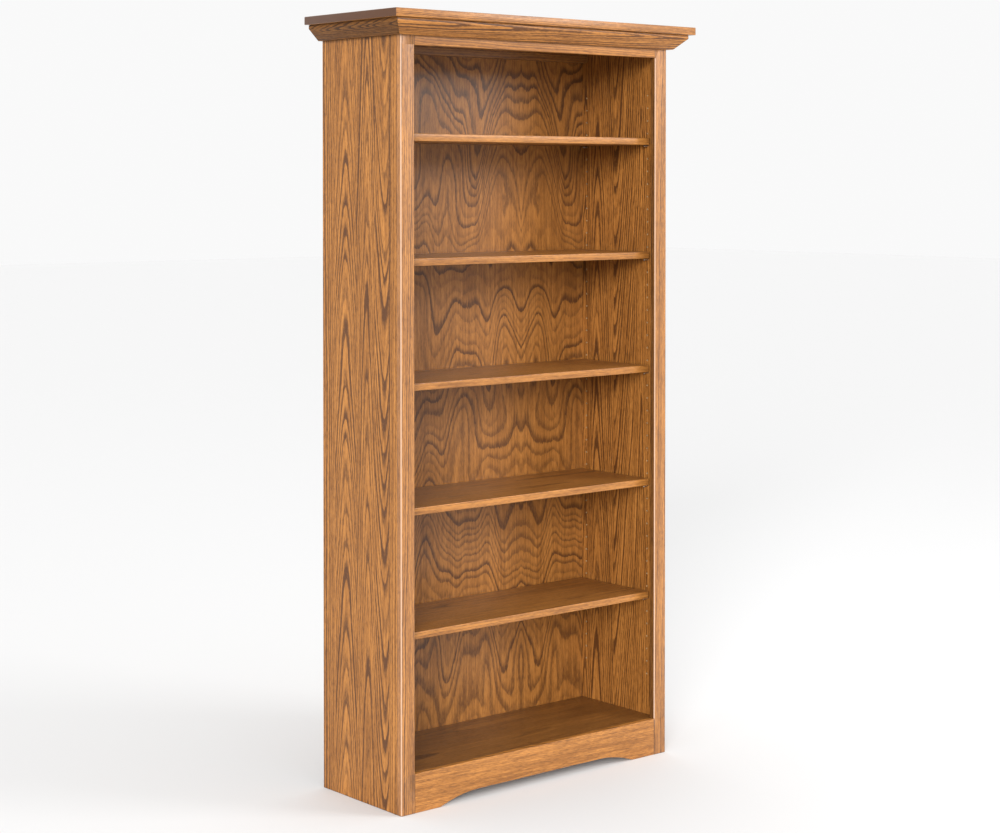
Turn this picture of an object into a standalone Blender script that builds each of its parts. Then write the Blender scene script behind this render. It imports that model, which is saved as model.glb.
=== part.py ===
"""Bookcase with adjustable shelves: red oak case, face frame, crown and five loose shelves.

Metres. +X is the viewer's right, -Y is the front, +Z is up. The origin is on the floor
under the middle of the overall box, which the crown and the top board set in plan.
"""
import math

import bmesh
import bpy
from mathutils import Matrix, Vector

# ---------------------------------------------------------------- driving dimensions
CASE_W = 0.842          # outside width of the case
CASE_D = 0.305          # face frame's front to the rear edge of a side
HEIGHT = 1.836          # floor to the top of the top board
OVERHANG = 0.0525       # top board past the case at the front and both sides
TOP_T = 0.019           # top board
SIDE_T = 0.019          # side panels
FRAME_T = 0.015         # face frame, front to back
STILE_W = 0.039         # face frame uprights
RAIL_TOP_DROP = 0.077   # top of the case to the lower edge of the top rail
DECK_Z = 0.0905         # top of the bottom deck and of the bottom rail
DECK_T = 0.019
DADO = 0.006            # depth of the groove that houses the deck in each side
FOOT_W = 0.075          # straight foot at each end of the bottom rail
ARCH_H = 0.022          # height of the cut-out under the bottom rail
ARCH_RUN = 0.117        # length of the curve at each end of the cut-out
ARCH_STEPS = 10         # straight steps in each curve
BACK_T = 0.006          # plywood back
BACK_FRONT = 0.2925     # case front to the front face of the back
BACK_Z = 0.0718         # lower edge of the back
RABBET = 0.010          # rebate in each side that holds the back
CLEAT_T = 0.019         # nailing rail under the top, in front of the back
GAP = 0.0003            # clearance between neighbouring pieces
CUT_PAST = 0.002        # reach of a cutter past the face it enters

CROWN_OUT = 0.0395      # crown's projection from the case
CROWN_H = 0.036         # crown's height
CROWN_BAND = 0.0085     # upright band above the crown's slope
CROWN_FOOT = 0.0125     # thickness of the crown at its lower edge

SHELF_T = 0.0175
SHELF_D = 0.254
SHELF_FRONT = 0.036     # case front to the shelf's front edge
SHELF_SIDE_GAP = 0.005  # shelf end to the side panel
EASE = 0.0012           # small chamfer on handled edges

HOLE_PITCH = 0.032
HOLE_BASE = 0.0025      # height of hole number zero
HOLE_R = 0.0025
HOLE_DEPTH = 0.0095
HOLE_SIDES = 8
HOLE_FIRST = 6          # number of the lowest hole
HOLE_LAST = 52          # number of the highest hole
HOLE_FRONT = 0.0475     # case front to the front row
HOLE_REAR = 0.2755      # case front to the rear row
SHELF_HOLES = (12, 21, 30, 39, 48)   # hole each shelf's pins stand in, lowest first

PIN_R = 0.0022          # pin's shank, inside the hole
PIN_IN = 0.0088
PIN_TIP = 0.0008        # chamfer at both ends of a pin, along its axis
PIN_TAPER = 0.0005      # narrowing of the shank at its chamfer
PIN_SIDES = 16
PEG_R = 0.0025          # pin's peg, under the shelf
PEG_OUT = 0.0125        # peg's reach past the side panel

DOWEL_R = 0.003
DOWEL_REACH = 0.014     # dowel into each of the two members it joins
DOWEL_TIP = 0.0012      # chamfer at a dowel's ends, along its axis
DOWEL_TAPER = 0.0006    # narrowing at that chamfer
DOWEL_SIDES = 12
DOWEL_EDGE = 0.014      # dowel's centre from each edge of the top rail
DOWELS_LOW = (0.024, 0.066)          # dowel centres in the bottom rail
SCREW_R = 0.0014
SCREW_IN = 0.0100       # screw past the front of the back panel
SCREW_TIP = 0.0022      # length of the point
SCREW_POINT = 0.35      # point's width as a share of the shank's
SCREW_SIDES = 12
SCREW_HEAD_R = 0.0038
SCREW_HEAD_T = 0.0021
HEAD_PROFILE = ((0.0, 1.0), (0.55, 1.0), (0.9, 0.72), (1.0, 0.35))   # shares of height and radius
SCREW_HEIGHTS = (0.125, 0.640, 1.195, 1.750)

# ---------------------------------------------------------------- derived positions
HALF_W = CASE_W / 2
Y_FRONT = -(CASE_D - OVERHANG) / 2      # face frame's front face
Y_REAR = Y_FRONT + CASE_D
Y_CROWN = Y_FRONT - OVERHANG            # front edge of the top board
Z_TOP = HEIGHT - TOP_T                  # underside of the top board
Z_CASE = Z_TOP - GAP                    # top of everything under the top board
INNER = HALF_W - SIDE_T                 # half the width between the sides
STILE_IN = HALF_W - STILE_W             # half the width between the stiles
Y_BACK = Y_FRONT + BACK_FRONT
Z_RAIL = HEIGHT - RAIL_TOP_DROP

OAK_FRONT = (0.42, 0.22, 0.09)
OAK_SIDE = (0.34, 0.17, 0.07)
OAK_SHELF = (0.30, 0.14, 0.055)
OAK_BACK = (0.24, 0.12, 0.055)
OAK_RAW = (0.56, 0.40, 0.24)
STEEL = (0.60, 0.58, 0.54)


def at(y):
    """Depth measured back from the case's front, as a Y of the shared frame."""
    return Y_FRONT + y


def make_material(name, colour, metallic=0.0, roughness=0.45):
    mat = bpy.data.materials.new("mat_" + name)
    mat.use_nodes = True
    shader = mat.node_tree.nodes["Principled BSDF"]
    shader.inputs["Base Color"].default_value = (*colour, 1.0)
    shader.inputs["Metallic"].default_value = metallic
    shader.inputs["Roughness"].default_value = roughness
    mat.diffuse_color = (*colour, 1.0)
    return mat


def finish(name, bm, colour, metallic=0.0, roughness=0.45, origin=(0, 0, 0)):
    """Turn a bmesh in shared-frame coordinates into a named object with its own material."""
    bmesh.ops.remove_doubles(bm, verts=bm.verts[:], dist=1e-6)
    bmesh.ops.recalc_face_normals(bm, faces=bm.faces[:])
    bmesh.ops.translate(bm, verts=bm.verts[:], vec=-Vector(origin))
    mesh = bpy.data.meshes.new(name)
    bm.to_mesh(mesh)
    bm.free()
    obj = bpy.data.objects.new(name, mesh)
    obj.location = origin
    obj.data.materials.append(make_material(name, colour, metallic, roughness))
    bpy.context.scene.collection.objects.link(obj)
    return obj


def loft(near_points, far_points):
    """Closed solid between two polygons that have the same number of corners."""
    bm = bmesh.new()
    near = [bm.verts.new(p) for p in near_points]
    far = [bm.verts.new(p) for p in far_points]
    bm.faces.new(near[::-1])
    bm.faces.new(far)
    for i in range(len(near)):
        j = (i + 1) % len(near)
        bm.faces.new((near[i], near[j], far[j], far[i]))
    return bm


def prism(points, vector):
    """Closed prism from a polygon of 3-D points swept along a vector."""
    return loft(points, [Vector(p) + Vector(vector) for p in points])


def box(x0, x1, y0, y1, z0, z1):
    return prism([(x0, y0, z0), (x1, y0, z0), (x1, y1, z0), (x0, y1, z0)], (0, 0, z1 - z0))


def lathe(profile, centre, axis, segments):
    """Closed solid of revolution; profile is (distance along the axis, radius)."""
    turn = Vector((0, 0, 1)).rotation_difference(Vector(axis)).to_matrix().to_4x4()
    place = Matrix.Translation(Vector(centre)) @ turn
    bm = bmesh.new()
    rings = []
    for along, radius in profile:
        ring = []
        for k in range(segments):
            a = 2 * math.pi * (k + 0.5) / segments
            ring.append(bm.verts.new(place @ Vector((radius * math.cos(a), radius * math.sin(a), along))))
        rings.append(ring)
    bm.faces.new(rings[0][::-1])
    bm.faces.new(rings[-1])
    for low, high in zip(rings, rings[1:]):
        for k in range(segments):
            n = (k + 1) % segments
            bm.faces.new((low[k], low[n], high[n], high[k]))
    return bm


def add_rod(bm, centre, axis, length, radius, segments):
    """Add a plain cylinder that starts at centre and runs along axis."""
    rod = lathe([(0.0, radius), (length, radius)], centre, axis, segments)
    temp = bpy.data.meshes.new("rod")
    rod.to_mesh(temp)
    rod.free()
    bm.from_mesh(temp)
    bpy.data.meshes.remove(temp)


def cut(obj, cutter_bm):
    """Subtract a bmesh of separate closed cutters from an object."""
    bmesh.ops.recalc_face_normals(cutter_bm, faces=cutter_bm.faces[:])
    mesh = bpy.data.meshes.new("cutter")
    cutter_bm.to_mesh(mesh)
    cutter_bm.free()
    tool = bpy.data.objects.new("cutter", mesh)
    bpy.context.scene.collection.objects.link(tool)
    tool.hide_render = True
    tool.display_type = "WIRE"
    mod = obj.modifiers.new("cut", "BOOLEAN")
    mod.operation = "DIFFERENCE"
    mod.solver = "EXACT"
    mod.object = tool
    graph = bpy.context.evaluated_depsgraph_get()
    result = bpy.data.meshes.new_from_object(obj.evaluated_get(graph))
    obj.modifiers.clear()
    old = obj.data
    obj.data = result
    bpy.data.meshes.remove(old)
    bpy.data.objects.remove(tool)
    bpy.data.meshes.remove(mesh)
    return obj


def hole_z(number):
    return HOLE_BASE + number * HOLE_PITCH


for old_object in list(bpy.data.objects):
    bpy.data.objects.remove(old_object)

# ---------------------------------------------------------------- side panels
# Each side has a rebate for the back, a groove for the deck, two rows of blind shelf-pin
# holes and the pilot holes of the back's screws.
for label, sx in (("left", -1), ("right", 1)):
    outline = [(sx * HALF_W, at(FRAME_T + GAP), 0), (sx * HALF_W, Y_REAR, 0),
               (sx * (INNER + RABBET), Y_REAR, 0), (sx * (INNER + RABBET), Y_BACK - GAP, 0),
               (sx * INNER, Y_BACK - GAP, 0), (sx * INNER, at(FRAME_T + GAP), 0)]
    side = finish("side_panel_" + label, prism(outline, (0, 0, Z_CASE)), OAK_SIDE)
    groove_x = sorted((sx * (INNER - CUT_PAST), sx * (INNER + DADO)))
    groove_z = (DECK_Z - DECK_T - GAP, DECK_Z + GAP)
    cut(side, box(*groove_x, Y_FRONT, Y_BACK, *groove_z))
    holes = bmesh.new()
    for number in range(HOLE_FIRST, HOLE_LAST + 1):
        for depth in (HOLE_FRONT, HOLE_REAR):
            start = (sx * (INNER - CUT_PAST), at(depth), hole_z(number))
            add_rod(holes, start, (sx, 0, 0), HOLE_DEPTH + CUT_PAST, HOLE_R, HOLE_SIDES)
    for z in SCREW_HEIGHTS:
        start = (sx * (INNER + RABBET / 2), Y_BACK + CUT_PAST, z)
        add_rod(holes, start, (0, -1, 0), SCREW_IN + CUT_PAST + GAP, SCREW_R + GAP, HOLE_SIDES)
    cut(side, holes)

# ---------------------------------------------------------------- back panel and its screws
back = finish("back_panel", box(-(INNER + RABBET - GAP), INNER + RABBET - GAP,
                                Y_BACK, Y_BACK + BACK_T, BACK_Z, Z_CASE), OAK_BACK)
pilots = bmesh.new()
for sx in (-1, 1):
    for z in SCREW_HEIGHTS:
        start = (sx * (INNER + RABBET / 2), Y_BACK - CUT_PAST, z)
        add_rod(pilots, start, (0, 1, 0), BACK_T + 2 * CUT_PAST, SCREW_R + GAP, HOLE_SIDES)
cut(back, pilots)

shank = SCREW_IN + BACK_T
screw_profile = [(-shank, SCREW_R * SCREW_POINT), (SCREW_TIP - shank, SCREW_R), (GAP, SCREW_R)]
screw_profile += [(GAP + SCREW_HEAD_T * up, SCREW_HEAD_R * out) for up, out in HEAD_PROFILE]
for label, sx in (("left", -1), ("right", 1)):
    for index, z in enumerate(SCREW_HEIGHTS, start=1):
        centre = (sx * (INNER + RABBET / 2), Y_BACK + BACK_T, z)
        screw = lathe(screw_profile, centre, (0, 1, 0), SCREW_SIDES)
        finish(f"back_screw_{label}_{index}", screw, STEEL, metallic=1.0, roughness=0.35)

# ---------------------------------------------------------------- nailing rail and deck
finish("back_cleat", box(-(INNER - GAP), INNER - GAP, Y_BACK - GAP - CLEAT_T, Y_BACK - GAP,
                         Z_RAIL, Z_CASE), OAK_BACK)
finish("bottom_deck", box(-(INNER + DADO - GAP), INNER + DADO - GAP,
                          at(FRAME_T + GAP), Y_BACK - GAP, DECK_Z - DECK_T, DECK_Z), OAK_SHELF)

# ---------------------------------------------------------------- top board
x = HALF_W + OVERHANG
top_section = [(-x, Y_CROWN, Z_TOP + EASE), (-x, Y_CROWN + EASE, Z_TOP), (-x, Y_REAR, Z_TOP),
               (-x, Y_REAR, HEIGHT), (-x, Y_CROWN + EASE, HEIGHT), (-x, Y_CROWN, HEIGHT - EASE)]
finish("top_board", prism(top_section, (2 * x, 0, 0)), OAK_FRONT)

# ---------------------------------------------------------------- crown moulding
# One section, mitred at both front corners. Distances run out from the case's face.
crown_section = [(GAP, Z_CASE), (CROWN_OUT, Z_CASE), (CROWN_OUT, Z_CASE - CROWN_BAND),
                 (CROWN_FOOT, Z_CASE - CROWN_H), (GAP, Z_CASE - CROWN_H)]
front_left = [(-HALF_W - a + GAP, Y_FRONT - a, z) for a, z in crown_section]
front_right = [(HALF_W + a - GAP, Y_FRONT - a, z) for a, z in crown_section]
finish("crown_front", loft(front_left, front_right), OAK_FRONT)
for label, sx in (("left", -1), ("right", 1)):
    near = [(sx * (HALF_W + a), Y_FRONT - a + GAP, z) for a, z in crown_section]
    far = [(sx * (HALF_W + a), Y_REAR, z) for a, z in crown_section]
    finish("crown_" + label, loft(near, far), OAK_SIDE)

# ---------------------------------------------------------------- face frame
# Two full-height stiles with rails between them; round dowels cross each joint.
rail_half = STILE_IN - GAP
dowels = []
dowels_top = (Z_RAIL + DOWEL_EDGE, Z_CASE - DOWEL_EDGE)
for rail, heights in (("top", dowels_top), ("bottom", DOWELS_LOW)):
    for label, sx in (("left", -1), ("right", 1)):
        for index, z in enumerate(heights, start=1):
            dowels.append((f"dowel_{rail}_{label}_{index}", sx, z))


def dowel_cutters(sides):
    bm = bmesh.new()
    for _, sx, z in dowels:
        if sx in sides:
            start = (sx * (STILE_IN - GAP / 2) - DOWEL_REACH - GAP, at(FRAME_T / 2), z)
            add_rod(bm, start, (1, 0, 0), 2 * (DOWEL_REACH + GAP), DOWEL_R + GAP, DOWEL_SIDES)
    return bm


for label, sx in (("left", -1), ("right", 1)):
    outer = sx * HALF_W
    inner = sx * STILE_IN
    outline = [(inner, at(FRAME_T), 0), (outer, at(FRAME_T), 0), (outer, at(EASE), 0),
               (outer - sx * EASE, at(0), 0), (inner + sx * EASE, at(0), 0), (inner, at(EASE), 0)]
    cut(finish("stile_" + label, prism(outline, (0, 0, Z_CASE)), OAK_FRONT), dowel_cutters((sx,)))

rail_top = finish("rail_top", box(-rail_half, rail_half, at(0), at(FRAME_T), Z_RAIL, Z_CASE), OAK_FRONT)
cut(rail_top, dowel_cutters((-1, 1)))

foot_in = STILE_IN - FOOT_W
curve = []
for k in range(ARCH_STEPS + 1):
    t = k / ARCH_STEPS
    curve.append((foot_in - ARCH_RUN * t, ARCH_H * (1 - (1 - t) ** 2)))
outline = [(rail_half, at(0), 0)] + [(px, at(0), pz) for px, pz in curve]
outline += [(-px, at(0), pz) for px, pz in reversed(curve)]
outline += [(-rail_half, at(0), 0), (-rail_half, at(0), DECK_Z), (rail_half, at(0), DECK_Z)]
rail_bottom = finish("rail_bottom", prism(outline, (0, FRAME_T, 0)), OAK_FRONT)
cut(rail_bottom, dowel_cutters((-1, 1)))

dowel_profile = [(-DOWEL_REACH, DOWEL_R - DOWEL_TAPER), (DOWEL_TIP - DOWEL_REACH, DOWEL_R),
                 (DOWEL_REACH - DOWEL_TIP, DOWEL_R), (DOWEL_REACH, DOWEL_R - DOWEL_TAPER)]
for name, sx, z in dowels:
    centre = (sx * (STILE_IN - GAP / 2), at(FRAME_T / 2), z)
    finish(name, lathe(dowel_profile, centre, (1, 0, 0), DOWEL_SIDES), OAK_RAW, roughness=0.6)

# ---------------------------------------------------------------- loose shelves and their pins
half = INNER - SHELF_SIDE_GAP
y0 = at(SHELF_FRONT)
y1 = y0 + SHELF_D
pin_profile = [(-PIN_IN, PIN_R - PIN_TAPER), (PIN_TIP - PIN_IN, PIN_R), (GAP, PIN_R), (GAP, PEG_R),
               (PEG_OUT - PIN_TIP, PEG_R), (PEG_OUT, PEG_R - PIN_TIP)]
for index, number in enumerate(SHELF_HOLES, start=1):
    pin_z = hole_z(number)
    low = pin_z + PEG_R + GAP
    high = low + SHELF_T
    section = [(-half, y0, low + EASE), (-half, y0 + EASE, low), (-half, y1, low),
               (-half, y1, high), (-half, y0 + EASE, high), (-half, y0, high - EASE)]
    finish(f"shelf_{index}", prism(section, (2 * half, 0, 0)), OAK_SHELF,
           origin=(0, (y0 + y1) / 2, low))
    for label, sx in (("left", -1), ("right", 1)):
        for place, depth in (("front", HOLE_FRONT), ("rear", HOLE_REAR)):
            pin = lathe(pin_profile, (sx * INNER, at(depth), pin_z), (-sx, 0, 0), PIN_SIDES)
            finish(f"pin_{index}_{label}_{place}", pin, STEEL, metallic=1.0, roughness=0.3)
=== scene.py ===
# %% [markdown]
# # A red oak bookcase with adjustable shelves
# The real object is a cabinetmaker's case: two solid oak sides joined by a top board, a
# bottom deck and a thin plywood back, with a face frame glued over the front edges and a
# mitred crown under the top. Five loose shelves stand on pins in drilled rows.
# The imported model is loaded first. It is the frame that every finished piece is built on.

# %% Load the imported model
import math

import bmesh
import bpy
from mathutils import Euler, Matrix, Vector


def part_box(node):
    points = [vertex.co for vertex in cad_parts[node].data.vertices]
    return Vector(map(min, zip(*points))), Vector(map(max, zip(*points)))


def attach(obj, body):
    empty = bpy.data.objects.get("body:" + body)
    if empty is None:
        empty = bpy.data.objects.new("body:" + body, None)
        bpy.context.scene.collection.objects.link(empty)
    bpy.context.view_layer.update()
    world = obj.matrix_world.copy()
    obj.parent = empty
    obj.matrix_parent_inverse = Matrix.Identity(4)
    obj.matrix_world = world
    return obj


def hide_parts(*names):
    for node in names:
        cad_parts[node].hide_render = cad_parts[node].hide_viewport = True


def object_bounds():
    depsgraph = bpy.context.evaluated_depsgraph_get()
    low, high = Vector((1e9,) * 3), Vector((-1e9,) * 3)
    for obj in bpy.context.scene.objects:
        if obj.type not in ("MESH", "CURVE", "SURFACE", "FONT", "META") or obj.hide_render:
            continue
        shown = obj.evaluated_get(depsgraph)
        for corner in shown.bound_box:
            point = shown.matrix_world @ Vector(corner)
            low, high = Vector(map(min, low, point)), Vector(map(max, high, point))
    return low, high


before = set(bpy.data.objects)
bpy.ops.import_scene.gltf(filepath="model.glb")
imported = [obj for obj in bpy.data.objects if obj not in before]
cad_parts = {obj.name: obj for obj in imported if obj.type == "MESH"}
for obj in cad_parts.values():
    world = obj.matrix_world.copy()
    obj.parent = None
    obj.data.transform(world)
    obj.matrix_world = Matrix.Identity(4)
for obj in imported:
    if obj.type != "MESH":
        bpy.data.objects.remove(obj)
cad_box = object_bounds()
lowest, highest = (Vector(corner) for corner in cad_box)
print("overall size in metres:", [round(side, 4) for side in highest - lowest])

# %% [markdown]
# ## Where the pieces are
# Each node's box gives its place, so no size is typed twice. Three planes are used again
# and again: the front of the face frame, the inner face of a side and the front of the
# back panel.

# %% Read the places from the frame
case_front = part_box("stile_left")[0].y
case_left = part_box("stile_left")[0].x
case_half = -case_left
opening_half = -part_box("stile_left")[1].x
inner_half = -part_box("side_panel_left")[1].x
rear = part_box("side_panel_left")[1].y
back_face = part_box("back_panel")[0].y
rail_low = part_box("rail_top")[0].z
deck_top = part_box("bottom_deck")[1].z
shelf_names = [f"shelf_{n}" for n in range(1, 6)]
pin_names = sorted(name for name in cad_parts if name.startswith("pin_"))
screw_names = sorted(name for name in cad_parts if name.startswith("back_screw_"))
dowel_names = sorted(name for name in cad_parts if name.startswith("dowel_"))
print("case", round(2 * case_half, 4), "wide and", round(rear - case_front, 4), "deep")

# %% [markdown]
# ## Shader maths as plain expressions
# A wood shader is mostly arithmetic on positions. This small class wraps one socket, so
# that a sum or a product in Python adds the Math node that does it, and any other node
# comes from one method.

# %% A socket that can be added and multiplied
class Shade:
    """One value of a material's node tree."""

    def __init__(self, tree, socket):
        self.tree = tree
        self.socket = socket

    def node(self, kind, settings, inputs, output=0):
        made = self.tree.nodes.new("ShaderNode" + kind)
        for key, value in settings.items():
            setattr(made, key, value)
        for key, value in inputs.items():
            if isinstance(value, Shade):
                self.tree.links.new(value.socket, made.inputs[key])
            else:
                made.inputs[key].default_value = value
        return Shade(self.tree, made.outputs[output])

    def outputs(self):
        return [Shade(self.tree, out) for out in self.socket.node.outputs]

    def math(self, operation, *values):
        return self.node("Math", {"operation": operation}, dict(enumerate(values)))

    def __add__(self, other):
        return self.math("ADD", self, other)

    def __sub__(self, other):
        return self.math("SUBTRACT", self, other)

    def __rsub__(self, other):
        return self.math("SUBTRACT", other, self)

    def __mul__(self, other):
        return self.math("MULTIPLY", self, other)

    def __truediv__(self, other):
        return self.math("DIVIDE", self, other)

    def __gt__(self, other):
        return self.math("GREATER_THAN", self, other)

    __radd__ = __add__
    __rmul__ = __mul__

    def fade(self, low, high):
        """0 below low, 1 above high and a smooth step between."""
        return self.node("MapRange", {"interpolation_type": "SMOOTHSTEP"},
                         {0: self, 1: low, 2: high, 3: 0.0, 4: 1.0})

    def noise(self, along, across, through, detail=2.0, roughness=0.5):
        """Smooth noise at a position given as three values, each already scaled."""
        place = self.node("CombineXYZ", {}, {0: along, 1: across, 2: through})
        return self.node("TexNoise", {}, {"Vector": place, "Scale": 1.0, "Detail": detail,
                                          "Roughness": roughness})

    def mix(self, first, second):
        """A colour that goes from first to second as this value goes from 0 to 1."""
        return self.node("Mix", {"data_type": "RGBA"}, {0: self, 6: first, 7: second}, 2)


def new_material(name, roughness=0.4, metallic=0.0, coat=0.0, coat_roughness=0.2):
    """A material with its shader, and the object position that every pattern starts from."""
    made = bpy.data.materials.new(name)
    made.use_nodes = True
    shader = made.node_tree.nodes["Principled BSDF"]
    shader.inputs["Roughness"].default_value = roughness
    shader.inputs["Metallic"].default_value = metallic
    shader.inputs["Coat Weight"].default_value = coat
    shader.inputs["Coat Roughness"].default_value = coat_roughness
    places = made.node_tree.nodes.new("ShaderNodeTexCoord")
    return made, shader, Shade(made.node_tree, places.outputs["Object"])


print("shader helpers ready")

# %% [markdown]
# ## Stained red oak
# A board is a slice of a trunk, so its figure is worked out as one: each point's distance
# from the tree's heart line gives the growth rings, and a heart line that leans against
# the board's face makes the pointed arches of plain-sawn wood. Red oak lays its large
# pores in a band at the start of each ring. The stain settles there, so that band is
# dark, and the pores themselves are short dark dashes along the grain.
# A wide panel is glued up from several boards, so every value of the heart line may
# change at a seam. Veneer is peeled almost along the rings, so its figure is broad and
# wavy, and neighbouring leaves mirror each other like the pages of a book.

# %% The oak material
RING = 0.0040            # usual width of a year's ring
LEAF = 0.360             # width of one leaf of veneer
PALE = (0.510, 0.210, 0.045)
MIDDLE = (0.275, 0.103, 0.019)
DARK = (0.080, 0.027, 0.007)
END = (0.080, 0.029, 0.009)
# A painted highlight: the pale colour laid along a rounded front edge in place of the line of light it
# catches.
ARRIS_HIGHLIGHT = (0.540, 0.335, 0.215, 1.0)
AXES = "xyz"


def stained(tone, tint):
    return tuple(value * tint for value in tone) + (1.0,)


def steps(value, seams, levels):
    """A value that jumps from one level to the next at each seam."""
    result = levels[0]
    for seam, before, after in zip(seams, levels, levels[1:]):
        result = result + (value > seam) * (after - before)
    return result


def oak(node, along, across, boards, seams=(), tint=1.0, contrast=1.0, ring=RING, gloss=1.0,
        leaf_seam=None, highlight_edge=None):
    """boards holds (heart's place across, heart's depth, lean, seed) for each board.

    The last argument lays a painted highlight, a pale line of colour, along a rounded edge: it holds the
    edge's place across, the front's place, and the heights between which the edge is rounded.
    """
    made, shader, place = new_material("oak_" + node, coat=0.36 * gloss, coat_roughness=0.28)
    shader.inputs["Specular IOR Level"].default_value = 0.30 * gloss
    low, high = (corner[AXES.index(along)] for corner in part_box(node))
    xyz = place.node("SeparateXYZ", {}, {0: place}).outputs()
    l = xyz[AXES.index(along)]
    u = xyz[AXES.index(across)]
    n = xyz[3 - AXES.index(along) - AXES.index(across)]
    if leaf_seam is not None:
        u = u.math("PINGPONG", u - leaf_seam, LEAF)
    heart, depth, lean, seed = (steps(u, seams, [b[i] for b in boards]) for i in range(4))

    wave = place.noise(l * 6.0 + seed, u * 34.0, n * 34.0) * 0.0030
    jag = place.noise(l * 30.0 + seed, u * 260.0, n * 260.0, 1.0) * 0.0011
    if leaf_seam is None:
        sway = place.noise(l * 1.3 + seed * 7.31, seed * 1.7, 0.0) * 0.020
        drift = place.noise(l * 3.1 + seed * 3.17, seed * 2.9, 4.0) * 0.010
        du = u - heart - sway
        dn = n + depth
        radius = place.math("SQRT", du * du + dn * dn) + drift
    else:
        radius = place.noise(l * 1.9 + seed, u * 7.5, 0.0, 1.0) * 0.085
    radius = radius + l * lean + wave + jag
    rings = radius / ring + place.noise(radius * 60.0, seed * 5.0, 0.0, 1.0) * 2.2
    phase = place.math("FRACT", rings)
    year = place.math("FLOOR", rings)
    strength = place.node("TexWhiteNoise", {"noise_dimensions": "1D"}, {"W": year + seed})
    band = phase.fade(0.0, 0.12) * (1.0 - phase.fade(0.16, 0.72)) * (strength * 0.9 + 0.25)

    streak = place.noise(l * 8.0 + seed, u * 170.0, n * 170.0, 2.0)
    feather = place.noise(l * 62.0, u * 360.0, n * 360.0, 2.0, 0.6)
    dashes = place.noise(l * 85.0 + seed, u * 1150.0, n * 1150.0, 1.0)
    pores = dashes.fade(0.50, 0.66)
    cloud = place.noise(l * 2.2 + seed, u * 15.0, n * 15.0, 2.0)
    warm = (cloud * 0.6 + feather * 0.9 + streak * 1.5 - 1.0).fade(0.0, 1.0)
    deep = band * feather.fade(0.12, 0.50) + feather.fade(0.54, 0.70) * 0.24 + pores * (band * 0.35 + 0.14)
    ground = warm.mix(stained(PALE, tint), stained(MIDDLE, tint))
    deep = place.math("MINIMUM", deep * contrast, 0.92)
    wood = deep.mix(ground, stained(DARK, tint))
    ends = (l - low).fade(0.0012, 0.0002) + (high - l).fade(0.0012, 0.0002)
    wood = ends.mix(wood, stained(END, tint))
    # Painted highlight: the colour turns pale along the rounded edge, in place of the light it would catch.
    if highlight_edge is not None:
        edge, front, bottom, top = highlight_edge
        off_edge = u.math("ABSOLUTE", u - edge) + n.math("ABSOLUTE", n - front)
        highlight_mask = off_edge.fade(0.0030, 0.0014) * l.fade(bottom, bottom + 0.002) * l.fade(top, top - 0.002)
        wood = highlight_mask.mix(wood, ARRIS_HIGHLIGHT)
    tree = made.node_tree
    tree.links.new(wood.socket, shader.inputs["Base Color"])
    tree.links.new((pores * 0.18 + 0.40 - band * 0.04).socket, shader.inputs["Roughness"])
    height = 0.0 - pores * (band * 0.6 + 0.4)
    bump = place.node("Bump", {}, {"Strength": 0.35, "Distance": 0.0004, "Height": height})
    tree.links.new(bump.socket, shader.inputs["Normal"])
    return made


print("oak has a ring every", RING * 1000, "mm")

# %% [markdown]
# ## Camera
# The case is looked at from in front and to its left, from about eye height. The lens is
# level apart from a small downward tilt, and the film is shifted so that the uprights
# stay upright in the picture.

# %% Camera
CAMERA_PLACE = (-3.2784, -3.8684, 1.4429)
CAMERA_HEADING = math.radians(-40.10)
CAMERA_TILT = math.radians(88.73)
FOCAL = 74.75
FILM = 36.0
SHIFT_Y = -0.1867
lens = bpy.data.cameras.new("camera")
lens.lens = FOCAL
lens.sensor_width = FILM
lens.shift_y = SHIFT_Y
camera = bpy.data.objects.new("camera", lens)
camera.location = CAMERA_PLACE
camera.rotation_euler = Euler((CAMERA_TILT, 0.0, CAMERA_HEADING))
bpy.context.scene.collection.objects.link(camera)
bpy.context.scene.camera = camera
print("camera", [round(v, 3) for v in camera.location])

# %% [markdown]
# ## Floor and light
# A plain pale floor and a white room carry most of the light, as in a studio tent. A wide
# soft light near the camera's left gives the case its direction: it reaches the right
# inner wall and leaves the left of each bay in soft shade.

# %% Floor and light
def deselect():
    bpy.ops.object.select_all(action="DESELECT")


deselect()
bpy.ops.mesh.primitive_plane_add(size=60.0, location=(0.0, 0.0, -0.0004))
floor = bpy.context.object
floor.name = "floor"
floor_finish, floor_shader, _ = new_material("pale_floor", roughness=0.85)
floor_shader.inputs["Base Color"].default_value = (0.78, 0.78, 0.78, 1.0)
floor.data.materials.append(floor_finish)

room = bpy.data.worlds.new("white_room")
room.use_nodes = True
room.node_tree.nodes["Background"].inputs["Color"].default_value = (1.0, 1.0, 1.0, 1.0)
room.node_tree.nodes["Background"].inputs["Strength"].default_value = 0.95
bpy.context.scene.world = room
bpy.context.scene.view_settings.view_transform = "Standard"


def lamp(name, kind, place, target, **settings):
    """A light at a place, turned to its target."""
    light = bpy.data.lights.new(name, kind)
    for key, value in settings.items():
        setattr(light, key, value)
    made = bpy.data.objects.new(name, light)
    made.location = place
    made.rotation_euler = (Vector(target) - Vector(place)).to_track_quat("-Z", "Y").to_euler()
    bpy.context.scene.collection.objects.link(made)


lamp("broad_key", "SUN", (-3.5, -3.3, 2.1), (0.0, 0.0, 0.9), energy=2.95, angle=math.radians(22))
lamp("sheen", "AREA", (2.7, -3.5, 2.9), (-0.4, -0.1, 1.6), energy=90.0, shape="RECTANGLE",
     size=1.7, size_y=1.5)
print("floor, room and two soft lights")

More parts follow.
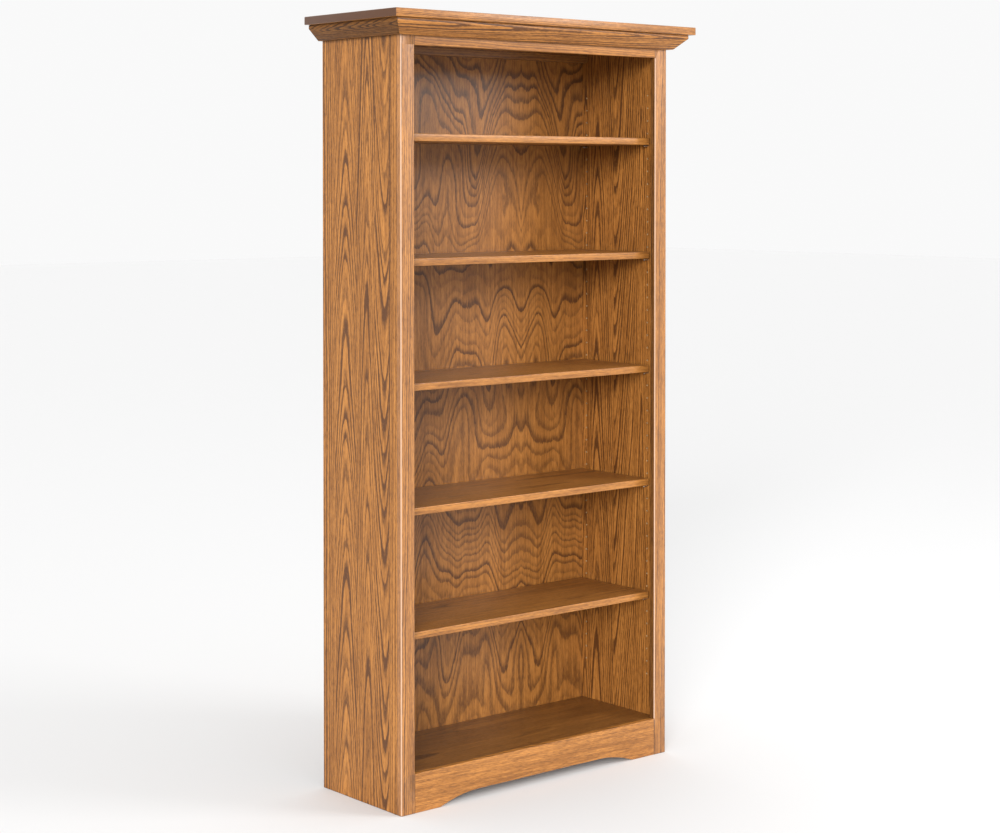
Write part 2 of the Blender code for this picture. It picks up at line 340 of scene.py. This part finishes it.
# %% [markdown]
# ## Boards
# Nearly every piece is a planed board with its sharp edges eased, so two helpers do the
# common work: one adds a block that fills a node's box, and one rounds chosen edges in
# edit mode, as a hand with a router or a sheet of abrasive would.

# %% Helpers for boards
EASE = 0.0015            # usual rounding of a long edge
CLEARANCE = 0.0003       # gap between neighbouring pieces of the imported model
SMOOTH = math.radians(40)


def block(name, low, high):
    """A box between two corners, with its object at the origin."""
    deselect()
    low, high = Vector(low), Vector(high)
    bpy.ops.mesh.primitive_cube_add(size=1.0, location=(low + high) / 2)
    made = bpy.context.object
    made.name = name
    made.data.name = name
    made.scale = high - low
    bpy.ops.object.transform_apply(location=True, rotation=True, scale=True)
    return made


def edit(piece, mode, wanted):
    """Enter edit mode with only the wanted faces or edges selected; True if there are any."""
    deselect()
    piece.select_set(True)
    bpy.context.view_layer.objects.active = piece
    bpy.ops.object.mode_set(mode="EDIT")
    bpy.ops.mesh.select_mode(type=mode)
    bpy.ops.mesh.select_all(action="DESELECT")
    mesh = bmesh.from_edit_mesh(piece.data)
    count = 0
    for part in {"FACE": mesh.faces, "EDGE": mesh.edges, "VERT": mesh.verts}[mode]:
        if wanted(part):
            part.select_set(True)
            count += 1
    mesh.select_flush_mode()
    bmesh.update_edit_mesh(piece.data)
    return count


def leave():
    bpy.ops.object.mode_set(mode="OBJECT")


def runs_along(edge, axis):
    a, b = (v.co for v in edge.verts)
    return abs((b - a).normalized()[AXES.index(axis)]) > 0.99


def edge_middle(edge):
    return (edge.verts[0].co + edge.verts[1].co) / 2


def ease(piece, width, wanted, segments=3):
    """Round the wanted edges by width."""
    if edit(piece, "EDGE", wanted):
        bpy.ops.mesh.bevel(offset=width, segments=segments, affect="EDGES", clamp_overlap=True)
    leave()


def finish_board(piece, finish, body, *nodes):
    """Smooth the eased edges, give the finish, and put the piece on its body."""
    deselect()
    piece.select_set(True)
    bpy.context.view_layer.objects.active = piece
    bpy.ops.object.shade_smooth_by_angle(angle=SMOOTH)
    piece.data.materials.clear()
    piece.data.materials.append(finish)
    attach(piece, body)
    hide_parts(*nodes)
    return piece


def second_finish(piece, finish, wanted):
    """Give the wanted faces a finish of their own."""
    piece.data.materials.append(finish)
    edit(piece, "FACE", wanted)
    piece.active_material_index = 1
    bpy.ops.object.material_slot_assign()
    leave()


def subtract(piece, *tools):
    """Cut closed tools out of a piece and delete them."""
    for tool in tools:
        deselect()
        piece.select_set(True)
        bpy.context.view_layer.objects.active = piece
        cut = piece.modifiers.new("cut", "BOOLEAN")
        cut.operation = "DIFFERENCE"
        cut.solver = "EXACT"
        cut.object = tool
        bpy.ops.object.modifier_apply(modifier=cut.name)
        bpy.data.objects.remove(tool)


print("board helpers ready")

# %% [markdown]
# ## Top board
# The top overhangs the case at the front and the sides. Its long edges are eased. Its ends
# are end grain, which drinks more stain and turns darker.

# %% Top board
top_low, top_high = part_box("top_board")
top_board = block("top_board_oak", top_low, top_high)
ease(top_board, EASE, lambda e: True)
top_oak = oak("top_board", "x", "y", [(-0.02, 0.03 - top_high.z, 0.02, 1.0),
                                      (0.12, 0.08 - top_high.z, -0.01, 2.0)], seams=(0.05,))
finish_board(top_board, top_oak, "cabinet", "top_board")
front_boards = [(top_low.z - 0.07, 0.04 - top_low.y, 0.010, 46.0)]
front_oak = oak("top_board", "x", "z", front_boards, contrast=0.7, ring=0.003)
second_finish(top_board, front_oak, lambda f: f.normal.y < -0.3)
print("top board", [round(v, 3) for v in top_board.dimensions])

# %% [markdown]
# ## Crown
# The crown is one moulding in three lengths: a short upright band with a wide flat slope
# under it. Each length starts as a square blank. One bevel of its lower outer edge planes
# the slope, and a cut at 45 degrees makes each mitre.

# %% Crown
SLOPE = 0.0272
MITRE_GAP = 0.00015
CROWN_EASE = 0.0007


def mitre(piece, corner, normal):
    """Cut away what lies beyond an upright plane through the corner."""
    edit(piece, "FACE", lambda f: True)
    bpy.ops.mesh.bisect(plane_co=corner, plane_no=normal, use_fill=True, clear_outer=True)
    leave()


for side, direction in (("front", None), ("left", -1), ("right", 1)):
    node = "crown_" + side
    low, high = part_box(node)
    piece = block(node + "_oak", low, high)
    if direction is None:
        ease(piece, SLOPE, lambda e: runs_along(e, "x") and e.verts[0].co.z < low.z + 0.001
             and e.verts[0].co.y < low.y + 0.001, segments=1)
        ease(piece, CROWN_EASE, lambda e: runs_along(e, "x"))
        for turn in (-1, 1):
            corner = (turn * (case_half - MITRE_GAP), case_front, 0.0)
            mitre(piece, corner, (turn, 1.0, 0.0))
        boards = [(low.z + 0.008, 0.010 - low.y, 0.024, 3.0)]
        # A slightly lighter copy of the oak for the front length: painted light.
        look = {"tint": 1.05, "contrast": 1.3, "gloss": 0.6, "ring": 0.0048}
    else:
        outer = direction * high.x if direction > 0 else low.x
        ease(piece, SLOPE, lambda e: runs_along(e, "y") and e.verts[0].co.z < low.z + 0.001
             and abs(e.verts[0].co.x - outer) < 0.001, segments=1)
        ease(piece, CROWN_EASE, lambda e: runs_along(e, "y"))
        corner = (direction * case_half, case_front + MITRE_GAP, 0.0)
        mitre(piece, corner, (-direction, -1.0, 0.0))
        boards = [(low.z + 0.016, 0.030 - direction * case_half, 0.12, 4.0 + direction)]
        # A much darker copy of the oak for the two side lengths: painted shade on their downward slopes.
        look = {"tint": 0.46, "contrast": 1.2, "gloss": 0.3}
    finish = oak(node, "x" if direction is None else "y", "z", boards, **look)
    finish_board(piece, finish, "cabinet", node)
print("crown in three mitred lengths")

# %% [markdown]
# ## Face frame
# Two full-height stiles with two rails butted between them, all planed flush. The stiles'
# long front edges are rounded, with a painted highlight along them for the line of light they
# catch. The bottom rail has a low arched cut-out: a straight run with a curve down to a square
# foot at each end. The rail starts as a plain board, is cut across at even steps, and its lower corners are
# lifted.

# %% Stiles
# The edges that face the opening get a darker copy of the oak: painted shade.
STILE_EASE = 0.0016
STILE_RING = 0.0034

for side, turn in (("left", -1), ("right", 1)):
    node = "stile_" + side
    low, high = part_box(node)
    piece = block(node + "_oak", low, high)
    for height in (deck_top, rail_low):
        edit(piece, "FACE", lambda f: True)
        bpy.ops.mesh.bisect(plane_co=(0.0, 0.0, height), plane_no=(0.0, 0.0, 1.0))
        leave()
    ease(piece, STILE_EASE, lambda e: runs_along(e, "z") and edge_middle(e).y < case_front + 0.001
         and (abs(edge_middle(e).x) > case_half - 0.001 or deck_top < edge_middle(e).z < rail_low),
         segments=4)
    boards = [(turn * (case_half + 0.03), 0.05 - case_front, 0.010 * turn, 6.0 + turn)]
    # The painted highlight runs along the left stile's outer front edge and along the right stile's inner
    # front edge between the rails.
    highlight_edge = (-case_half, case_front, low.z, high.z)
    if side == "right":
        highlight_edge = (opening_half, case_front, deck_top, rail_low)
    stile_oak = oak(node, "z", "x", boards, ring=STILE_RING, gloss=1.5, highlight_edge=highlight_edge)
    finish_board(piece, stile_oak, "cabinet", node)
    # The faces that look into the opening get a darker copy of the oak: painted shade. The painted highlight
    # at the edge stays.
    shaded_edge_oak = oak(node, "z", "x", boards, tint=0.45, ring=STILE_RING, highlight_edge=highlight_edge)
    second_finish(piece, shaded_edge_oak, lambda f: f.normal.x * turn < -0.9)
print("two stiles")

# %% Rails
RAIL_EASE = 0.0009
ARCH_HEIGHT = 0.022
ARCH_RUN = 0.117         # length of the curve at each end of the cut-out
FOOT = 0.075
ARCH_STEPS = 14


def rail_blank(node):
    """A rail that meets both stiles without a gap."""
    low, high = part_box(node)
    low.x, high.x = -opening_half, opening_half
    return block(node + "_oak", low, high)


rail = rail_blank("rail_top")
ease(rail, RAIL_EASE, lambda e: runs_along(e, "x") and e.verts[0].co.y < case_front + 0.001)
finish_board(rail, oak("rail_top", "x", "z", [(rail_low - 0.06, 0.05 - case_front, 0.01, 9.0)], contrast=0.7),
             "cabinet", "rail_top")

rail = rail_blank("rail_bottom")
foot_end = opening_half - FOOT
stations = [foot_end - ARCH_RUN * k / ARCH_STEPS for k in range(ARCH_STEPS + 1)]
for station in [-s for s in stations] + stations:
    edit(rail, "FACE", lambda f: True)
    bpy.ops.mesh.bisect(plane_co=(station, 0.0, 0.0), plane_no=(1.0, 0.0, 0.0))
    leave()
for station in stations:
    rise = ARCH_HEIGHT * (1 - (1 - (foot_end - station) / ARCH_RUN) ** 2)
    edit(rail, "VERT", lambda v: abs(abs(v.co.x) - station) < 1e-5 and v.co.z < 0.001)
    bpy.ops.transform.translate(value=(0.0, 0.0, rise))
    leave()
ease(rail, RAIL_EASE, lambda e: not runs_along(e, "z") and not runs_along(e, "y")
     and edge_middle(e).y < case_front + 0.001)
finish_board(rail, oak("rail_bottom", "x", "z", [(-0.05, 0.016 - case_front, 0.06, 10.0)],
                       tint=1.08, contrast=0.8, ring=0.0030),
             "cabinet", "rail_bottom")
print("two rails, the lower one arched", ARCH_HEIGHT * 1000, "mm")

# %% [markdown]
# ## Sides
# Each side is glued up from several boards. It is rebated for the back, grooved for the
# deck, and drilled with two rows of blind holes for the shelf pins. One drill bit is
# modelled, repeated up the row with an Array modifier, and the row is copied to the rear.

# %% Sides
HOLE_PITCH = 0.032
HOLE_BASE = 0.0025
HOLE_FIRST = 6
HOLE_LAST = 52
HOLE_RADIUS = 0.0025
HOLE_DEPTH = 0.0095
HOLE_RIM = 0.00035
REBATE = 0.010           # depth of the back's rebate into each side
GROOVE = 0.006           # depth of the deck's groove into each side
CUT_PAST = 0.002         # reach of a cutter past the face it enters
rows = sorted({round((a.y + b.y) / 2, 5) for a, b in map(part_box, pin_names)})
bare_wood, bare_shader, _ = new_material("bare_oak", roughness=0.75)
bare_shader.inputs["Base Color"].default_value = (0.42, 0.26, 0.12, 1.0)


def in_hole(face):
    centre = face.calc_center_median()
    near_row = any(abs(centre.y - depth) < HOLE_RADIUS for depth in rows)
    return near_row and 0.0002 < abs(centre.x) - inner_half < HOLE_DEPTH + 0.0001


def drill_row(direction, depth):
    """A row of drill bits, reaching from inside the case into one side."""
    deselect()
    start = direction * (inner_half - CUT_PAST)
    end = direction * (inner_half + HOLE_DEPTH)
    place = ((start + end) / 2, depth, HOLE_BASE + HOLE_FIRST * HOLE_PITCH)
    bpy.ops.mesh.primitive_cylinder_add(vertices=16, radius=HOLE_RADIUS, depth=abs(end - start),
                                        location=place, rotation=(0.0, math.pi / 2, 0.0))
    bit = bpy.context.object
    bpy.ops.object.transform_apply(location=True, rotation=True, scale=True)
    repeat = bit.modifiers.new("repeat", "ARRAY")
    repeat.use_relative_offset = False
    repeat.use_constant_offset = True
    repeat.constant_offset_displace = (0.0, 0.0, HOLE_PITCH)
    repeat.count = HOLE_LAST - HOLE_FIRST + 1
    bpy.ops.object.modifier_apply(modifier=repeat.name)
    return bit


SIDE_SEAMS = [case_front + y for y in (0.046, 0.098, 0.172, 0.256)]
side_boards = {
    "left": [(case_front - 0.06, 0.05, 0.004, 11.0), (case_front + 0.052, 0.022, -0.085, 12.0),
             (case_front + 0.118, 0.012, 0.050, 13.0), (case_front + 0.202, 0.022, 0.080, 14.0),
             (case_front + 0.38, 0.07, 0.004, 15.0)],
    "right": [(case_front - 0.08, 0.10, 0.006, 16.0), (case_front + 0.06, 0.020, 0.045, 17.0),
              (case_front + 0.16, 0.034, -0.09, 18.0), (case_front + 0.225, 0.034, 0.060, 19.0),
              (case_front + 0.270, 0.026, 0.035, 20.0)]}
for side, turn in (("left", -1), ("right", 1)):
    node = "side_panel_" + side
    low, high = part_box(node)
    piece = block(node + "_oak", low, high)
    rebate_x = sorted((turn * (inner_half - CUT_PAST), turn * (inner_half + REBATE)))
    rebate = block("rebate", (rebate_x[0], back_face - CLEARANCE, -0.01), (rebate_x[1], rear + 0.01, 2.0))
    groove_x = sorted((turn * (inner_half - CUT_PAST), turn * (inner_half + GROOVE)))
    groove_z = (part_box("bottom_deck")[0].z - CLEARANCE, deck_top + CLEARANCE)
    groove = block("groove", (groove_x[0], case_front, groove_z[0]), (groove_x[1], back_face, groove_z[1]))
    subtract(piece, rebate, groove, *(drill_row(turn, depth) for depth in rows))
    ease(piece, HOLE_RIM, lambda e: all(abs(v.co.x - turn * inner_half) < 1e-5 for v in e.verts)
         and e.calc_length() < 0.0012, segments=1)
    face = turn * case_half
    boards = [(heart, depth - face, lean, seed) for heart, depth, lean, seed in side_boards[side]]
    side_oak = oak(node, "z", "y", boards, seams=SIDE_SEAMS, tint=0.96, contrast=1.3, ring=0.0068,
                   gloss=0.6)
    finish_board(piece, side_oak, "cabinet", node)
    second_finish(piece, bare_wood, in_hole)
    print(node, "with", 2 * (HOLE_LAST - HOLE_FIRST + 1), "pin holes,", len(piece.data.polygons), "faces")

# %% [markdown]
# ## Back, nailing rail and deck
# The back is thin plywood faced with oak veneer, whose leaves mirror each other at the
# seams. A rail across the top of the back takes the screws that hold the case to a wall,
# and the deck closes the bottom.

# %% Back, nailing rail and deck
LEAF_SEAM = -0.17        # place across of the seam that the leaves mirror at
BACK_EASE = 0.0004
CLEAT_EASE = 0.0010
DECK_EASE = 0.0005
back = block("back_panel_oak", *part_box("back_panel"))
ease(back, BACK_EASE, lambda e: True, segments=1)
# A darker copy of the oak: painted shade at the back of the bays, over a somewhat darker stain on the
# plywood.
back_oak = oak("back_panel", "z", "x", [(0.0, 0.0, 0.10, 21.0)], tint=0.84, contrast=0.8,
               leaf_seam=LEAF_SEAM)
finish_board(back, back_oak, "cabinet", "back_panel")

cleat_low, cleat_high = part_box("back_cleat")
cleat = block("back_cleat_oak", cleat_low, cleat_high)
ease(cleat, CLEAT_EASE, lambda e: runs_along(e, "x"))
cleat_boards = [(cleat_low.z - 0.04, 0.05 - cleat_low.y, 0.01, 22.0)]
# A darker copy of the oak: painted shade under the top.
finish_board(cleat, oak("back_cleat", "x", "z", cleat_boards, tint=0.72), "cabinet", "back_cleat")

deck = block("bottom_deck_oak", *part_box("bottom_deck"))
ease(deck, DECK_EASE, lambda e: True, segments=1)
deck_boards = [(-0.03, 0.05 - deck_top, 0.02, 23.0), (0.10, 0.06 - deck_top, -0.02, 24.0)]
# A much darker copy of the oak: painted shade on the floor of the lowest bay, over a somewhat darker stain.
finish_board(deck, oak("bottom_deck", "x", "y", deck_boards, seams=(0.04,), tint=0.54, contrast=0.8),
             "cabinet", "bottom_deck")
print("back, nailing rail and deck")

# %% [markdown]
# ## Loose shelves
# The shelves are one board, made once and copied. Its front edge is rounded top and
# bottom. Each copy has its own mesh and a figure of its own, and rides on its own body,
# because each shelf lifts off its pins.

# %% Loose shelves
LIP_EASE = 0.0020        # rounding of a shelf's front edge
END_EASE = 0.0006        # chamfer of its ends and rear edge


def copy_to(piece, name, offset):
    """A copy with its own mesh, moved by an offset and with its object at the origin."""
    deselect()
    piece.select_set(True)
    bpy.context.view_layer.objects.active = piece
    bpy.ops.object.duplicate()
    made = bpy.context.object
    made.name = name
    made.data.name = name
    bpy.ops.transform.translate(value=offset)
    bpy.ops.object.transform_apply(location=True, rotation=True, scale=True)
    return made


lip_oak = oak(shelf_names[0], "x", "z", [(-0.08, 0.04, 0.008, 45.0)], contrast=0.6, ring=0.0028)
first_low, first_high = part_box(shelf_names[0])
shelf_blank = block("shelf_blank", first_low, first_high)
ease(shelf_blank, LIP_EASE, lambda e: runs_along(e, "x") and edge_middle(e).y < first_low.y + 0.001,
     segments=4)
ease(shelf_blank, END_EASE, lambda e: edge_middle(e).y > first_low.y + 0.004, segments=1)
for number, node in enumerate(shelf_names):
    low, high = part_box(node)
    shelf = copy_to(shelf_blank, node + "_oak", low - first_low)
    boards = [(-0.04 + 0.02 * number, 0.035 - high.z, 0.014, 30.0 + number),
              (0.09, 0.06 - high.z, -0.012, 36.0 + number)]
    # The boards get a darker copy of the oak and their front edges the full tone: painted shade on the tops,
    # inside the bays.
    finish_board(shelf, oak(node, "x", "y", boards, seams=(0.025,), tint=0.78, contrast=0.9), node, node)
    second_finish(shelf, lip_oak, lambda f: f.normal.y < -0.3)
bpy.data.objects.remove(shelf_blank)
print(len(shelf_names), "shelves")

# %% [markdown]
# ## Shelf pins, screws and dowels
# The pins are plain steel pegs, rounded at both ends, with a slightly thinner shank in
# the hole. Pan-head screws with a cross recess hold the back into its rebate. The dowels
# that cross the frame's joints are never seen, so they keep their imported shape.

# %% Metal finishes
def steel(name, tone, roughness):
    """Plated steel with faint turning marks."""
    made, shader, place = new_material(name, metallic=1.0)
    xyz = place.node("SeparateXYZ", {}, {0: place}).outputs()
    marks = place.noise(xyz[0] * 9000.0, xyz[1] * 900.0, xyz[2] * 900.0)
    shader.inputs["Base Color"].default_value = (*tone, 1.0)
    made.node_tree.links.new((marks * 0.16 + roughness - 0.08).socket, shader.inputs["Roughness"])
    return made


pin_steel = steel("pin_steel", (0.62, 0.60, 0.56), 0.30)
screw_steel = steel("screw_steel", (0.66, 0.65, 0.60), 0.36)
print("two metal finishes")

# %% Shelf pins
SHANK = 0.88             # shank's thickness as a share of the peg's
PIN_EASE = 0.0007
PACKED_SIDES = 16        # sides of a packed pin, whose box is a little narrower than the pin
pin_low, pin_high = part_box("pin_1_left_front")
pin_radius = (pin_high.z - pin_low.z) / 2 / math.cos(math.pi / PACKED_SIDES)
deselect()
bpy.ops.mesh.primitive_cylinder_add(vertices=24, radius=pin_radius, depth=pin_high.x - pin_low.x,
                                    location=(pin_low + pin_high) / 2, rotation=(0.0, math.pi / 2, 0.0))
pin_blank = bpy.context.object
bpy.ops.object.transform_apply(location=True, rotation=True, scale=True)
edit(pin_blank, "FACE", lambda f: True)
bpy.ops.mesh.bisect(plane_co=(-inner_half, 0.0, 0.0), plane_no=(1.0, 0.0, 0.0))
leave()
edit(pin_blank, "VERT", lambda v: v.co.x < -inner_half + 1e-5)
bpy.ops.transform.resize(value=(1.0, SHANK, SHANK), center_override=(pin_low + pin_high) / 2)
leave()
ease(pin_blank, PIN_EASE, lambda e: abs(edge_middle(e).x - pin_high.x) < 1e-5
     or abs(edge_middle(e).x - pin_low.x) < 1e-5, segments=3)
for node in pin_names:
    low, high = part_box(node)
    pin = copy_to(pin_blank, node + "_steel", (low + high - pin_low - pin_high) / 2)
    if "_right_" in node:
        edit(pin, "FACE", lambda f: True)
        bpy.ops.transform.mirror(constraint_axis=(True, False, False), center_override=(low + high) / 2)
        bpy.ops.mesh.normals_make_consistent(inside=False)
        leave()
    finish_board(pin, pin_steel, node, node)
bpy.data.objects.remove(pin_blank)
print(len(pin_names), "shelf pins")

# %% Screws of the back
SCREW_SHANK = 0.0014     # radius
SCREW_POINT = 0.4        # point's width as a share of the shank's
HEAD_DOME = 0.62         # share of the head's height that is rounded
RECESS_LONG = 0.0021     # half the length of each arm of the cross
RECESS_NARROW = 0.00045
RECESS_DEEP = 0.0012

screw_low, screw_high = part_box("back_screw_left_1")
screw_middle = (screw_low + screw_high) / 2
head_radius = (screw_high.x - screw_low.x) / 2
back_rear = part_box("back_panel")[1].y + CLEARANCE
head_height = screw_high.y - back_rear
deselect()
bpy.ops.mesh.primitive_cylinder_add(vertices=28, radius=head_radius, depth=head_height,
                                    location=(screw_middle.x, (back_rear + screw_high.y) / 2,
                                              screw_middle.z),
                                    rotation=(math.pi / 2, 0.0, 0.0))
screw_blank = bpy.context.object
bpy.ops.object.transform_apply(location=True, rotation=True, scale=True)
ease(screw_blank, head_height * HEAD_DOME, lambda e: all(v.co.y > screw_high.y - 1e-5 for v in e.verts),
     segments=4)
edit(screw_blank, "FACE", lambda f: f.calc_center_median().y < back_rear + 1e-5)
bpy.ops.mesh.inset(thickness=head_radius - SCREW_SHANK)
bpy.ops.mesh.extrude_region_move(TRANSFORM_OT_translate={"value": (0.0, screw_low.y - back_rear, 0.0)})
bpy.ops.transform.resize(value=(SCREW_POINT, 1.0, SCREW_POINT), center_override=screw_middle)
leave()
for wide, tall in ((RECESS_LONG, RECESS_NARROW), (RECESS_NARROW, RECESS_LONG)):
    size = Vector((wide, RECESS_DEEP, tall))
    centre = Vector((screw_middle.x, screw_high.y, screw_middle.z))
    subtract(screw_blank, block("recess", centre - size, centre + size))
for node in screw_names:
    low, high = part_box(node)
    screw = copy_to(screw_blank, node + "_steel", low - screw_low)
    finish_board(screw, screw_steel, "cabinet", node)
bpy.data.objects.remove(screw_blank)
print(len(screw_names), "screws")

# %% Dowels
birch, birch_shader, birch_place = new_material("dowel_birch", roughness=0.6)
birch_xyz = birch_place.node("SeparateXYZ", {}, {0: birch_place}).outputs()
birch_grain = birch_place.noise(birch_xyz[0] * 60.0, birch_xyz[1] * 900.0, birch_xyz[2] * 900.0)
birch_tone = birch_grain.mix((0.62, 0.45, 0.26, 1.0), (0.76, 0.60, 0.40, 1.0))
birch.node_tree.links.new(birch_tone.socket, birch_shader.inputs["Base Color"])
for node in dowel_names:
    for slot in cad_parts[node].material_slots:
        slot.material = birch
print(len(dowel_names), "dowels keep their packed shape")
